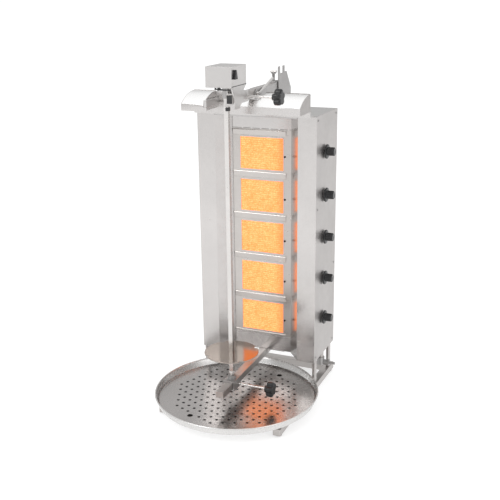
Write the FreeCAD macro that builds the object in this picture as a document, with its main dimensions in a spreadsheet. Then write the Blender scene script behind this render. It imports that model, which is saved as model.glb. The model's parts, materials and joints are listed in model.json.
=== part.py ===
import FreeCAD, Part
import math
import os
import Sketcher
from FreeCAD import Placement, Rotation, Vector

# Gas vertical broiler with five stacked infrared burners, a motor-driven
# vertical spit on sliding upper and lower supports, and a round drip tray.
# Own frame: X to the machine's right, front towards -Y, Z up from the surface
# it stands on, origin under the middle of the whole machine. The code gives
# depths from the face of the burner frame, and place() adds the step from there
# to the origin. Millimetres.

SIZES = {
    # body shell
    "body_width": 461.0, "body_height": 925.0, "body_clearance": 123.5, "recess_depth": 58.0,
    "rear_depth": 176.0, "centre_width": 230.0, "wing_face": 70.0, "sheet": 1.5,
    "roof_lip": 10.0,
    # burners, counted from the top
    "burner_pitch": 159.0, "top_burner_drop": 152.5, "tile_width": 170.0, "tile_height": 120.0,
    "tile_thickness": 13.0, "tile_setback": 4.0, "burner_depth": 50.0, "burner_lip": 10.0,
    "venturi_radius": 12.0, "venturi_length": 64.0, "front_plate_seam": 1.0, "frame_margin": 31.0,
    # gas train
    "knob_rise": 16.0, "knob_depth": 36.0, "manifold_radius": 10.5, "manifold_depth": 82.0,
    "manifold_side": 20.0, "valve_radius": 13.0, "valve_length": 28.0, "spindle_radius": 4.0,
    "spindle_length": 40.0, "pipe_radius": 4.0, "inlet_drop": 56.0, "nipple_radius": 5.0,
    "nipple_length": 22.0,
    # burner knobs
    "knob_disc_radius": 26.0, "knob_disc": 6.0, "knob_grip_radius": 15.0, "knob_grip": 26.0,
    "knob_travel": 4.0, "knob_stand_off": 5.0,
    # base frame
    "rail_width": 28.0, "rail_height": 26.0, "rail_wall": 2.0, "rail_front": 421.0, "rail_rear": 170.0,
    "rail_side": 235.0, "foot_height": 6.0, "foot_radius": 12.0, "rest_height": 6.0,
    "rest_radius": 8.0, "leg_width": 10.0, "leg_depth": 25.0, "front_leg": 48.0, "rear_leg": 121.0,
    # drip tray
    "tray_radius": 300.0, "tray_depth": 30.0, "tray_forward": 258.0, "tray_sheet": 1.2,
    "tray_taper": 12.0, "insert_gap": 3.0, "insert_lip": 4.5, "hole_radius": 5.2,
    "hole_spacing": 30.0, "hole_field": 232.0, "hole_turn": 22.0, "finger_hole_radius": 10.0,
    # spit and its lower support
    "spit_forward": 297.0, "spit_side": 15.0, "spit_top": 1147.0, "stop_drop": 56.0, "plate_height": 229.0,
    "plate_radius": 97.0, "plate_thickness": 4.0, "journal_radius": 6.0, "journal_top": 151.0,
    "arm_width": 30.0, "arm_height": 25.0, "arm_front": 405.0, "arm_rear": 100.0,
    "slider_wall": 6.0, "slider_length": 60.0, "cup_radius": 15.0, "cup_height": 12.0,
    # upper support
    "beam_width": 20.0, "beam_height": 28.0, "beam_bottom": 1120.0, "beam_front": 345.0,
    "beam_rear": 60.0, "cheek": 4.0, "mount_front": 165.0, "mount_rear": 58.0, "mount_foot": 40.0,
    "fork_width": 60.0, "fork_height": 57.0, "fork_slot": 30.0, "fork_slot_depth": 25.0,
    "brace_height": 35.0, "brace_run": 65.0,
    # motor
    "motor_width": 92.0, "motor_length": 118.0, "motor_height": 64.0, "motor_bottom": 1174.0,
    "motor_front": 358.0, "cover_sheet": 1.2, "base_plate": 3.0, "sleeve_front": 336.0,
    "sleeve_length": 111.0, "funnel_low": 1101.0, "lever_reach": 41.0, "top_screw_forward": 242.0,
    # lock screws
    "screw_radius": 4.0, "star_radius": 25.0, "star_width": 25.0, "top_screw_reach": 103.0,
    "low_screw_reach": 119.0,
    # hood
    "hood_half_width": 220.0, "hood_front": 200.0, "hood_rear": 98.0, "hood_lip": 24.0,
    "hood_rise": 20.5, "hood_crown": 36.0, "slot_left": 122.0, "slot_right": 5.0,
    # clearances
    "gap": 0.3, "running": 0.05,
}
BURNERS = 5

doc = FreeCAD.newDocument("vertical_broiler")
sheet = doc.addObject("Spreadsheet::Sheet", "sizes")
for row, (alias, number) in enumerate(SIZES.items(), 1):
    sheet.set("A%d" % row, alias)
    sheet.set("B%d" % row, str(number))
    sheet.setAlias("B%d" % row, alias)
doc.recompute()


class Size:
    """A length with its formula in sheet cells and its value in millimetres."""

    def __init__(self, text, value):
        self.text = text
        self.value = float(value)

    def __float__(self):
        return self.value

    def __add__(self, other):
        return combined(self, "+", other, self.value + float(other))

    def __radd__(self, other):
        return combined(other, "+", self, float(other) + self.value)

    def __sub__(self, other):
        return combined(self, "-", other, self.value - float(other))

    def __rsub__(self, other):
        return combined(other, "-", self, float(other) - self.value)

    def __mul__(self, other):
        return combined(self, "*", other, self.value * float(other))

    def __rmul__(self, other):
        return combined(other, "*", self, float(other) * self.value)

    def __truediv__(self, other):
        return combined(self, "/", other, self.value / float(other))

    def __neg__(self):
        return combined(0, "-", self, -self.value)


def text_of(length):
    return length.text if isinstance(length, Size) else repr(float(length))


def combined(left, sign, right, value):
    return Size("(%s %s %s)" % (text_of(left), sign, text_of(right)), value)


def size(alias):
    """The sheet's own cell as a Size."""
    return Size("sizes." + alias, sheet.get(alias))


def bind(item, prop, length):
    item.setExpression(prop, text_of(length))


screw_head = size("screw_radius") * 0.6
face_to_origin = (size("tray_forward") + size("tray_radius") - size("rear_depth") - screw_head) / 2


# ---------------------------------------------------------------- helpers
NODES = []
TURNS = {"z": Rotation(), "x": Rotation(Vector(0, 1, 0), 90), "y": Rotation(Vector(1, 0, 0), -90)}
ROLES = {"XY": "XY_Plane", "XZ": "XZ_Plane", "YZ": "YZ_Plane"}


def node(item, name):
    """Register a finished piece under the name of its file."""
    item.Label = name
    NODES.append(item)
    return item


def place(item, x, y, z, turn=None):
    """Set an item's place, with y given from the burner frame's face."""
    y = y + face_to_origin
    item.Placement = Placement(Vector(float(x), float(y), float(z)), turn or Rotation())
    bind(item, "Placement.Base.x", x)
    bind(item, "Placement.Base.y", y)
    bind(item, "Placement.Base.z", z)
    return item


def box(width, depth, height, x, y, z):
    """A block from its low corner."""
    item = doc.addObject("Part::Box", "block")
    bind(item, "Length", width)
    bind(item, "Width", depth)
    bind(item, "Height", height)
    return place(item, x, y, z)


def rod(radius, length, x, y, z, axis="z"):
    """A cylinder from the centre of its first end, along one axis."""
    item = doc.addObject("Part::Cylinder", "rod")
    bind(item, "Radius", radius)
    bind(item, "Height", length)
    return place(item, x, y, z, TURNS[axis])


def cone(low_radius, high_radius, length, x, y, z, axis="z"):
    item = doc.addObject("Part::Cone", "cone")
    bind(item, "Radius1", low_radius)
    bind(item, "Radius2", high_radius)
    bind(item, "Height", length)
    return place(item, x, y, z, TURNS[axis])


def fuse(*pieces):
    item = doc.addObject("Part::MultiFuse", "fused")
    item.Shapes = list(pieces)
    return item


def cut(base, *tools):
    item = doc.addObject("Part::Cut", "cut")
    item.Base = base
    item.Tool = tools[0] if len(tools) == 1 else fuse(*tools)
    return item


def common(first, second):
    item = doc.addObject("Part::Common", "common")
    item.Base = first
    item.Tool = second
    return item


def group(*pieces):
    """Separate solids that share one node."""
    item = doc.addObject("Part::Compound", "group")
    item.Links = list(pieces)
    return item


def mirrored(source):
    """The left-hand copy of a right-hand piece."""
    item = doc.addObject("Part::Mirroring", "mirrored")
    item.Source = source
    item.Normal = Vector(1, 0, 0)
    return item


def fix_point(sketch, geometry, point, x, y):
    """Hold one sketch point at bound distances from the sketch's origin."""
    for kind, length in (("DistanceX", x), ("DistanceY", y)):
        index = sketch.addConstraint(Sketcher.Constraint(kind, -1, 1, geometry, point, float(length)))
        bind(sketch, "Constraints[%d]" % index, length)


def draw_polygon(sketch, corners):
    first = sketch.GeometryCount
    for here, there in zip(corners, corners[1:] + corners[:1]):
        start = Vector(float(here[0]), float(here[1]), 0)
        end = Vector(float(there[0]), float(there[1]), 0)
        sketch.addGeometry(Part.LineSegment(start, end))
    for index, corner in enumerate(corners):
        following = first + (index + 1) % len(corners)
        sketch.addConstraint(Sketcher.Constraint("Coincident", first + index, 2, following, 1))
        fix_point(sketch, first + index, 1, *corner)


def draw_circle(sketch, x, y, radius):
    centre = Vector(float(x), float(y), 0)
    geometry = sketch.addGeometry(Part.Circle(centre, Vector(0, 0, 1), float(radius)))
    index = sketch.addConstraint(Sketcher.Constraint("Radius", geometry, float(radius)))
    bind(sketch, "Constraints[%d]" % index, radius)
    fix_point(sketch, geometry, 3, x, y)


def sketch_on(body, plane, loops):
    """A sketch of closed loops: a list of corners, or a tuple (x, y, radius)."""
    sketch = body.newObject("Sketcher::SketchObject", body.Name + "_profile")
    origin = next(f for f in body.Origin.OriginFeatures if f.Role == ROLES[plane])
    sketch.AttachmentSupport = (origin, [""])
    sketch.MapMode = "FlatFace"
    for loop in loops:
        if isinstance(loop, tuple):
            draw_circle(sketch, *loop)
        else:
            draw_polygon(sketch, loop)
    return sketch


def padded(name, plane, loops, depth, x=0, y=0, z=0):
    """A body made by one pad; it fills from the given place towards +X, +Y or +Z."""
    body = doc.addObject("PartDesign::Body", name + "_body")
    pad = body.newObject("PartDesign::Pad", name + "_pad")
    pad.Profile = sketch_on(body, plane, loops)
    bind(pad, "Length", depth)
    body.Tip = pad
    return place(body, x, y + depth if plane == "XZ" else y, z)


def turned(name, profile, x=0, y=0, z=0, turn=None):
    """A body of revolution about its own Z axis from an XZ half profile."""
    body = doc.addObject("PartDesign::Body", name + "_body")
    revolution = body.newObject("PartDesign::Revolution", name + "_turning")
    sketch = sketch_on(body, "XZ", [profile])
    revolution.Profile = sketch
    revolution.ReferenceAxis = (sketch, ["V_Axis"])
    revolution.Angle = 360
    body.Tip = revolution
    return place(body, x, y, z, turn)


def rectangle(x_low, x_high, y_low, y_high):
    return [(x_low, y_low), (x_high, y_low), (x_high, y_high), (x_low, y_high)]


# ---------------------------------------------------------------- shared places
gap = size("gap")
running = size("running")
steel = size("sheet")
half_body = size("body_width") / 2
half_centre = size("centre_width") / 2
body_bottom = size("body_clearance")
body_top = body_bottom + size("body_height")
front = -size("recess_depth")
rear = size("rear_depth")
wing_inner = half_body - size("wing_face")
tile_half = size("tile_width") / 2
spit_y = -size("spit_forward")
knob_y = size("knob_depth")
rail_bottom = size("foot_height")
rail_top = rail_bottom + size("rail_height")
rail_outer = size("rail_side")
rail_inner = rail_outer - size("rail_width")
motor_half = size("motor_width") / 2
beam_x = motor_half - size("cheek") - size("beam_width") / 2


def burner_z(index):
    return body_top - size("top_burner_drop") - size("burner_pitch") * index


def knob_z(index):
    return burner_z(index) + size("knob_rise")


# ---------------------------------------------------------------- base frame
def build_base():
    wall = size("rail_wall")
    length = size("rail_front") + size("rail_rear")
    profile = [rectangle(rail_inner, rail_outer, rail_bottom, rail_top),
               rectangle(rail_inner + wall, rail_outer - wall, rail_bottom + wall, rail_top - wall)]
    right = padded("rail", "XZ", profile, length, 0, -size("rail_front"), 0)
    members = [right, mirrored(right)]
    for y in (-size("rail_front") * 0.3, size("rail_rear") - size("rail_width") * 1.5):
        outer = box(rail_inner * 2, size("rail_width"), size("rail_height"), -rail_inner, y, rail_bottom)
        inner = box(rail_inner * 2, size("rail_width") - wall * 2, size("rail_height") - wall * 2,
                    -rail_inner, y + wall, rail_bottom + wall)
        members.append(cut(outer, inner))

    caps = []
    plug_width = size("rail_width") - wall * 2
    plug_height = size("rail_height") - wall * 2
    for x in (rail_inner, -rail_outer):
        for face, plug in ((-size("rail_front") - wall, -size("rail_front")),
                           (size("rail_rear"), size("rail_rear") - wall * 4)):
            plate = box(size("rail_width"), wall, size("rail_height"), x, face, rail_bottom)
            stem = box(plug_width, wall * 4, plug_height, x + wall, plug, rail_bottom + wall)
            caps.append(fuse(plate, stem))
    rail_middle = (rail_inner + rail_outer) / 2
    for x in (rail_middle, -rail_middle):
        for y in (-size("rail_front") + size("foot_radius") * 1.5, size("rail_rear") - size("foot_radius") * 1.5):
            caps.append(rod(size("foot_radius"), rail_bottom, x, y, 0))
        for reach in (size("tray_radius") * -0.5, size("tray_radius") * 0.4):
            members.append(rod(size("rest_radius"), size("rest_height"), x,
                               reach - size("tray_forward"), rail_top))
    node(group(*caps), "feet_and_end_caps")

    for x in (half_body - size("leg_width") - steel, -half_body + steel):
        for y in (-size("front_leg"), size("rear_leg")):
            members.append(box(size("leg_width"), size("leg_depth"), body_bottom - rail_top, x, y, rail_top))
    node(group(*members), "base_frame")


# ---------------------------------------------------------------- body shell
def build_shell():
    height = size("body_height")
    spindle_hole = size("spindle_radius") + size("gap") * 3
    side = rectangle(front + steel, rear, body_bottom, body_top)
    right_loops = [side] + [(knob_y, knob_z(i), spindle_hole) for i in range(BURNERS)]
    node(padded("side_right", "YZ", right_loops, steel, half_body - steel, 0, 0), "side_panel_right")
    node(padded("side_left", "YZ", [side], steel, -half_body, 0, 0), "side_panel_left")

    # Each wing is one bent sheet: a flat face, then a flare back to the burner frame.
    wing = [(half_body, front), (half_body, front + steel), (wing_inner + steel / 2, front + steel),
            (half_centre + steel, 0), (half_centre, 0), (half_centre, -steel), (wing_inner, front)]
    right = padded("wing", "XY", [wing], height - steel, 0, 0, body_bottom)
    node(group(right, mirrored(right)), "wing_reflectors")

    inside = half_body - steel
    outline = [(half_centre + steel * 2, steel), (wing_inner + steel * 2, front + steel * 2),
               (inside, front + steel * 2), (inside, rear - steel), (-inside, rear - steel),
               (-inside, front + steel * 2), (-wing_inner - steel * 2, front + steel * 2),
               (-half_centre - steel * 2, steel)]
    pipe_hole = (half_body - size("manifold_side"), size("manifold_depth"), size("manifold_radius") + gap)
    node(padded("floor", "XY", [outline, pipe_hole], steel, 0, 0, body_bottom), "bottom_panel")
    roof = padded("roof", "XY", [rectangle(-inside, inside, front, rear - steel)], steel, 0, 0, body_top - steel)
    lip = box((wing_inner - steel * 2) * 2, steel, size("roof_lip"), -wing_inner + steel * 2, front,
              body_top - steel - size("roof_lip"))
    node(fuse(roof, lip), "top_panel")

    # The back has two rows of upright air slots.
    loops = [rectangle(-inside, inside, body_bottom, body_top)]
    slot_height = size("burner_pitch") / 2
    for z in (body_bottom + slot_height / 2, body_top - slot_height * 1.5):
        for index in range(9):
            x = inside * ((index - 4) / 6)
            loops.append(rectangle(x - steel * 2, x + steel * 2, z, z + slot_height))
    node(padded("back", "XZ", loops, steel, 0, rear - steel, 0), "back_panel")


def build_front_plates():
    """The plain upper plate, the burner frame with five windows and the plain lower plate."""
    seam = size("front_plate_seam")
    frame_top = burner_z(0) + size("tile_height") / 2 + size("frame_margin")
    frame_low = burner_z(BURNERS - 1) - size("tile_height") / 2 - size("frame_margin") / 2
    half_window = size("tile_height") / 2
    loops = [rectangle(-half_centre, half_centre, frame_low, frame_top)]
    for i in range(BURNERS):
        z = burner_z(i)
        loops.append(rectangle(-tile_half, tile_half, z - half_window, z + half_window))
        loops.append((tile_half + size("burner_lip") / 2, z - half_window / 8, size("spindle_radius")))
    node(padded("frame", "XZ", loops, steel, 0, 0, 0), "burner_frame")
    upper = padded("upper", "XZ", [rectangle(-half_centre, half_centre, frame_top + seam, body_top - steel)], steel)
    lower = padded("lower", "XZ", [rectangle(-half_centre, half_centre, body_bottom + steel, frame_low - seam)], steel)
    node(group(upper, lower), "front_plates")


# ---------------------------------------------------------------- burners and gas train
def build_burner(index):
    z = burner_z(index)
    half = size("tile_height") / 2 + size("burner_lip")
    wide = tile_half + size("burner_lip")
    depth = size("burner_depth")
    lip = size("burner_lip")
    shell = box(wide * 2, depth, half * 2, -wide, steel, z - half)
    inner = box((wide - steel) * 2, depth - steel * 2, (half - steel) * 2,
                -wide + steel, steel * 2, z - half + steel)
    window = box(tile_half * 2, steel * 2, (half - lip) * 2, -tile_half, 0, z - half + lip)
    probe = rod(size("spindle_radius"), steel * 3, tile_half + lip / 2, 0,
                z - size("tile_height") / 16, "y")
    radius = size("venturi_radius")
    bore = radius - steel
    x = wide - steel
    tube = rod(radius, size("venturi_length"), x, knob_y, knob_z(index), "x")
    hollow = rod(bore, size("venturi_length") + steel, x - steel, knob_y, knob_z(index), "x")
    shell_cut = cut(shell, inner, window, probe)
    node(cut(fuse(shell_cut, tube), hollow), "burner_housing_%d" % (index + 1))

    # Two ceramic plaques side by side, seated behind the window's lip.
    thickness = size("tile_thickness")
    low = steel * 2 + gap
    plaques = []
    for low_x in (-tile_half - lip / 2, gap / 2):
        plaques.append(box(tile_half + lip / 2 - gap / 2, thickness, size("tile_height") + lip,
                           low_x, low, z - half + lip / 2))
    node(group(*plaques), "burner_tiles_%d" % (index + 1))


def build_probes():
    """One ignition probe beside each burner window."""
    probes = []
    for i in range(BURNERS):
        z = burner_z(i) - size("tile_height") / 16
        x = tile_half + size("burner_lip") / 2
        reach = size("tile_setback") * 2
        probes.append(rod(size("spindle_radius") - gap, reach + steel * 2, x, -reach, z, "y"))
    node(group(*probes), "ignition_probes")


def build_gas_train():
    pipe_x = half_body - size("manifold_side")
    pipe_y = size("manifold_depth")
    radius = size("manifold_radius")
    low = body_bottom - size("inlet_drop")
    top = knob_z(0) + radius * 2
    outer = rod(radius, top - low, pipe_x, pipe_y, low)
    wall = size("rail_wall")
    inner = rod(radius - wall, top - low - wall, pipe_x, pipe_y, low)
    node(cut(outer, inner), "gas_manifold")

    valves = []
    injectors = []
    length = size("valve_length")
    valve_x = half_body - steel - length
    for i in range(BURNERS):
        z = knob_z(i)
        barrel = rod(size("valve_radius"), length, valve_x, knob_y, z, "x")
        stub = rod(size("valve_radius") / 2, pipe_y - knob_y, pipe_x, knob_y, z, "y")
        saddle = rod(radius + wall, size("valve_radius") * 2, pipe_x, pipe_y, z - size("valve_radius"))
        pipe_hole = rod(radius, size("valve_radius") * 2, pipe_x, pipe_y, z - size("valve_radius"))
        bore = rod(size("spindle_radius") + running, length / 2 + gap, valve_x + length / 2, knob_y, z, "x")
        valves.append(cut(fuse(barrel, stub, saddle), pipe_hole, bore))
        start = tile_half + size("burner_lip") + size("venturi_length") + gap
        holder = rod(size("venturi_radius") / 2, size("venturi_radius"), start, knob_y, z, "x")
        pipe = rod(size("pipe_radius"), valve_x - start - gap, start, knob_y, z, "x")
        injectors.append(fuse(holder, pipe))
    node(group(*valves), "gas_valves")
    node(group(*injectors), "gas_injectors")

    # The inlet: an elbow under the body, a hexagon nut and a hose nipple pointing right.
    elbow = cut(rod(radius + wall * 2, radius * 3, pipe_x, pipe_y, low - radius),
                rod(radius + running, radius * 2, pipe_x, pipe_y, low))
    arm = rod(radius, radius * 2.4, pipe_x, pipe_y, low, "x")
    nut_x = pipe_x + radius * 2.4
    nut = doc.addObject("Part::Prism", "nut")
    nut.Polygon = 6
    bind(nut, "Circumradius", radius * 1.3)
    bind(nut, "Height", radius)
    place(nut, nut_x, pipe_y, low, TURNS["x"])
    nipple = rod(size("nipple_radius"), size("nipple_length"), nut_x + radius, pipe_y, low, "x")
    seat = rod(radius + running, radius, pipe_x, pipe_y, low)
    node(cut(fuse(elbow, arm, nut, nipple), seat), "gas_inlet")


def build_knob(index):
    z = knob_z(index)
    reach = size("knob_travel")
    start = half_body - size("valve_length") / 2
    node(rod(size("spindle_radius"), size("spindle_length"), start + reach, knob_y, z, "x"),
         "valve_spindle_%d" % (index + 1))
    back = half_body + size("knob_stand_off")
    disc = size("knob_disc")
    total = disc + size("knob_grip")
    bore = size("spindle_radius") + running
    depth = start + reach + size("spindle_length") + gap - back
    profile = [(bore, 0), (size("knob_disc_radius"), 0), (size("knob_disc_radius"), disc - steel),
               (size("knob_disc_radius") - steel, disc), (size("knob_grip_radius"), disc),
               (size("knob_grip_radius") - steel, total - steel), (size("knob_grip_radius") - steel * 2, total),
               (0, total), (0, depth), (bore, depth)]
    knob = turned("knob", profile, back, knob_y, z, TURNS["x"])
    node(knob, "burner_knob_%d" % (index + 1))


# ---------------------------------------------------------------- drip tray
def build_tray():
    radius = size("tray_radius")
    skin = size("tray_sheet")
    floor_radius = radius - size("tray_taper")
    bottom = rail_top + size("rest_height")
    depth = size("tray_depth")
    lip = skin * 3
    profile = [(0, 0), (floor_radius, 0), (radius - lip, depth - lip), (radius, depth - lip), (radius, depth),
               (radius - lip - skin, depth), (floor_radius - skin, skin), (0, skin)]
    node(turned("tray", profile, 0, -size("tray_forward"), bottom), "drip_tray")

    # The perforated insert: a flat disc with a turned-down edge, holes on a diagonal grid.
    edge = floor_radius - size("insert_gap")
    lip_height = float(size("insert_lip"))
    thick = float(skin)
    outer = float(edge)
    level = float(bottom + skin + gap)
    pitch = float(size("hole_spacing"))
    field = float(size("hole_field"))
    steps = int(field / pitch) + 1
    wires = []
    diagonal = math.sqrt(0.5) * pitch
    finger_radius = float(size("finger_hole_radius"))
    finger_at = [Vector(7.5 * diagonal, 7.5 * diagonal, 0), Vector(-7.5 * diagonal, -7.5 * diagonal, 0)]
    for u in range(-2 * steps, 2 * steps + 1):
        for v in range(-2 * steps, 2 * steps + 1):
            centre = Vector(u * diagonal, v * diagonal, 0)
            nearest = min((centre - at).Length for at in finger_at)
            near_finger = nearest < finger_radius + 2 * float(size("hole_radius"))
            if (u + v) % 2 == 0 and centre.Length <= field and not near_finger:
                wires.append(Part.Wire(Part.makeCircle(float(size("hole_radius")), centre)))
    wires += [Part.Wire(Part.makeCircle(finger_radius, at)) for at in finger_at]
    rim = Part.Wire(Part.makeCircle(outer, Vector()))
    disc = Part.makeFace([rim] + wires, "Part::FaceMakerBullseye").extrude(Vector(0, 0, thick))
    disc.translate(Vector(0, 0, lip_height - thick))
    ring = Part.makeCylinder(outer, lip_height - thick).cut(Part.makeCylinder(outer - thick, lip_height - thick))
    insert = doc.addObject("Part::Feature", "insert")
    insert.Shape = disc.fuse(ring).removeSplitter()
    turn = Rotation(Vector(0, 0, 1), float(size("hole_turn")))
    insert.Placement = Placement(Vector(0, float(face_to_origin - size("tray_forward")), level), turn)
    node(insert, "tray_insert")


# ---------------------------------------------------------------- spit and lower support
def build_lower_support():
    half_arm = size("arm_width") / 2
    arm_low = body_bottom - size("arm_height")
    wall = size("slider_wall")
    arm_middle = body_bottom - size("arm_height") / 2
    length = size("arm_front") + size("arm_rear")
    thin = size("rail_wall")
    outer = rectangle(-half_arm, half_arm, arm_low, body_bottom)
    hollow = rectangle(-half_arm + thin, half_arm - thin, arm_low + thin, body_bottom - thin)
    node(padded("arm", "XZ", [outer, hollow], length, 0, -size("arm_front"), 0), "lower_arm")

    # Angle brackets beside the arm hold it under the bottom panel.
    brackets = []
    for x in (half_arm, -half_arm - size("plate_radius") * 0.75):
        flat = box(size("plate_radius") * 0.75, size("recess_depth"), thin, x, 0, body_bottom - thin)
        web = box(thin, size("recess_depth"), size("arm_height") * 0.7,
                  x if float(x) > 0 else -half_arm - thin, 0, body_bottom - size("arm_height") * 0.7)
        brackets.append(fuse(flat, web))
    node(group(*brackets), "arm_brackets")

    # The slider is a sleeve on the arm with a bearing cup on top.
    low_y = spit_y - size("slider_length") / 2
    sleeve = box(size("arm_width") + wall * 2, size("slider_length"), size("arm_height") + wall * 2,
                 -half_arm - wall, low_y, arm_low - wall)
    passage = box(size("arm_width") + gap * 2, size("slider_length"), size("arm_height") + gap * 2,
                  -half_arm - gap, low_y, arm_low - gap)
    cup_low = body_bottom + wall
    cup = rod(size("cup_radius"), size("cup_height") + wall / 2, 0, spit_y, cup_low - wall / 2)
    bore = rod(size("journal_radius") + running, size("cup_height") + wall, 0, spit_y, cup_low - gap)
    thread = rod(size("screw_radius") + running, wall * 2, half_arm - gap, spit_y, arm_middle, "x")
    node(cut(fuse(sleeve, cup), passage, bore, thread), "lower_slider")
    screw_start = half_arm + gap
    build_star_screw("bottom", screw_start, spit_y, arm_middle, size("low_screw_reach"))


def build_star_screw(name, x, y, z, reach):
    """A long lock screw along +X with a five-lobed grip on its end."""
    radius = size("screw_radius")
    stem = rod(radius, reach + size("star_width") * 0.85, x, y, z, "x")
    collar = rod(radius * 1.7, radius * 2, x + reach - radius * 2 - gap, y, z, "x")
    node(fuse(stem, collar), name + "_lock_screw")
    start = x + reach
    width = size("star_width")
    star = size("star_radius")
    hub = rod(radius * 2.2, width * 0.3, start, y, z, "x")
    lobes = []
    for turn in range(5):
        angle = math.radians(90 + 72 * turn)
        lobes.append(rod(star * 0.36, width * 0.72, start + width * 0.28, y + star * (0.64 * math.cos(angle)),
                         z + star * (0.64 * math.sin(angle)), "x"))
    short_core = rod(star * 0.62, width * 0.72, start + width * 0.28, y, z, "x")
    grip = fuse(hub, short_core, *lobes)
    bore = rod(radius + running, width * 0.85 + gap, start, y, z, "x")
    node(cut(grip, bore), name + "_star_knob")


def build_spit():
    half = size("spit_side") / 2
    cup_floor = body_bottom + size("slider_wall")
    shoulder = size("journal_top")
    bar = box(size("spit_side"), size("spit_side"), size("spit_top") - shoulder, -half, spit_y - half, shoulder)
    journal = rod(size("journal_radius"), shoulder - cup_floor, 0, spit_y, cup_floor)
    collar_low = cup_floor + size("cup_height") + gap
    collar = rod(size("cup_radius") * 0.66, shoulder + half - collar_low, 0, spit_y, collar_low)
    stop = rod(size("cup_radius") * 0.8, size("cup_radius") * 0.8, 0, spit_y, size("spit_top") - size("stop_drop"))
    node(fuse(bar, journal, collar, stop), "spit")

    # The meat plate: a disc with four shallow notches, a hub and a square hole.
    level = size("plate_height")
    radius = size("plate_radius")
    disc = rod(radius, size("plate_thickness"), 0, spit_y, level)
    hub = rod(size("cup_radius"), size("cup_radius"), 0, spit_y, level - size("cup_radius"))
    notches = []
    for turn in range(4):
        angle = math.radians(45 + 90 * turn)
        notches.append(rod(radius * 0.1, size("plate_thickness") * 2, radius * math.cos(angle) * 1.0,
                           spit_y + radius * math.sin(angle), level - size("plate_thickness") / 2))
    hole = box(size("spit_side") + gap, size("spit_side") + gap, size("cup_radius") * 3,
               -half - gap / 2, spit_y - half - gap / 2, level - size("cup_radius") * 1.5)
    node(cut(fuse(disc, hub), hole, *notches), "spit_plate")


# ---------------------------------------------------------------- upper support
def build_upper_support():
    half = size("beam_width") / 2
    bottom = size("beam_bottom")
    top = bottom + size("beam_height")
    cheek = size("cheek")
    thin = size("rail_wall")
    length = size("beam_front") + size("beam_rear")
    outer = rectangle(beam_x - half, beam_x + half, bottom, top)
    hollow = rectangle(beam_x - half + thin, beam_x + half - thin, bottom + thin, top - thin)
    node(padded("beam", "XZ", [outer, hollow], length, 0, -size("beam_front"), 0), "upper_beam")

    # The mount: two shaped cheeks against the beam's sides, a bridge over it and a foot on the roof.
    low_y = -size("mount_front")
    high_y = size("mount_rear")
    foot_y = -size("mount_foot")
    nose = size("beam_width")
    profile = [(low_y, bottom - cheek), (low_y, top - half), (low_y + nose, top), (0, top),
               (high_y, top + cheek * 2), (high_y, body_top), (foot_y, body_top), (foot_y - nose, bottom - cheek)]
    cheeks = [padded("cheek", "YZ", [profile], cheek, x, 0, 0) for x in (beam_x + half, beam_x - half - cheek)]
    clamp_y = high_y - size("beam_width")
    bridge = box(half * 2, nose * 2, cheek * 2, beam_x - half, high_y - nose * 2, top)
    foot = box(half * 3 + cheek * 2, high_y - foot_y, thin, beam_x - half * 2 - cheek, foot_y, body_top)
    clamp_hole = rod(size("screw_radius") + running, cheek * 4, beam_x, clamp_y, top)
    pivot_y = low_y + nose * 0.65
    pivot_z = bottom + half * 1.1
    pivot = rod(size("screw_radius"), cheek * 3, beam_x + half + cheek, pivot_y, pivot_z, "x")
    node(cut(fuse(*cheeks, bridge, foot, pivot), clamp_hole), "beam_mount")

    # T-handled clamp bolt in the mount's bridge, its end just over the beam.
    tall = size("beam_width") * 2
    stem = rod(size("screw_radius"), tall, beam_x, clamp_y, top + gap)
    bar = rod(size("screw_radius"), half * 2.4, beam_x - half * 1.2, clamp_y, top + gap + tall, "x")
    node(fuse(stem, bar), "clamp_bolt")

    # Lever on the mount's right cheek, pointing up and back.
    eye_x = beam_x + half + cheek + gap
    hub = rod(size("screw_radius") * 2, cheek * 2, eye_x, pivot_y, pivot_z, "x")
    hole = rod(size("screw_radius") + running, cheek * 3, eye_x - cheek / 2, pivot_y, pivot_z, "x")
    arm = doc.addObject("Part::Cylinder", "lever_rod")
    bind(arm, "Radius", size("screw_radius") * 0.9)
    bind(arm, "Height", size("beam_width") * 7)
    place(arm, eye_x + cheek, pivot_y, pivot_z, Rotation(Vector(1, 0, 0), -73))
    node(cut(fuse(hub, arm), hole), "guide_lever")

    # Rear rest: a forked upright plate with a sloping brace and a foot on the roof.
    plate_x = beam_x + half + cheek + gap * 2
    base_y = high_y - size("beam_width") * 0.8
    wide = size("fork_width")
    slot = size("fork_slot")
    tall_z = top + size("fork_height")
    notch_z = tall_z - size("fork_slot_depth")
    middle = base_y + wide / 2
    brace_z = top + size("brace_height")
    brace_y = base_y + wide + size("brace_run")
    outline = [(base_y, body_top), (base_y, tall_z), (middle - slot / 2, tall_z), (middle - slot / 2, notch_z),
               (middle + slot / 2, notch_z), (middle + slot / 2, tall_z), (base_y + wide, tall_z),
               (base_y + wide, brace_z), (base_y + wide + nose, brace_z), (brace_y, bottom), (brace_y, body_top)]
    plate = padded("fork", "YZ", [outline], cheek, plate_x, 0, 0)
    step = box(size("beam_width"), brace_y - base_y, thin, plate_x, base_y, body_top)
    node(fuse(plate, step), "rear_fork")


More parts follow.
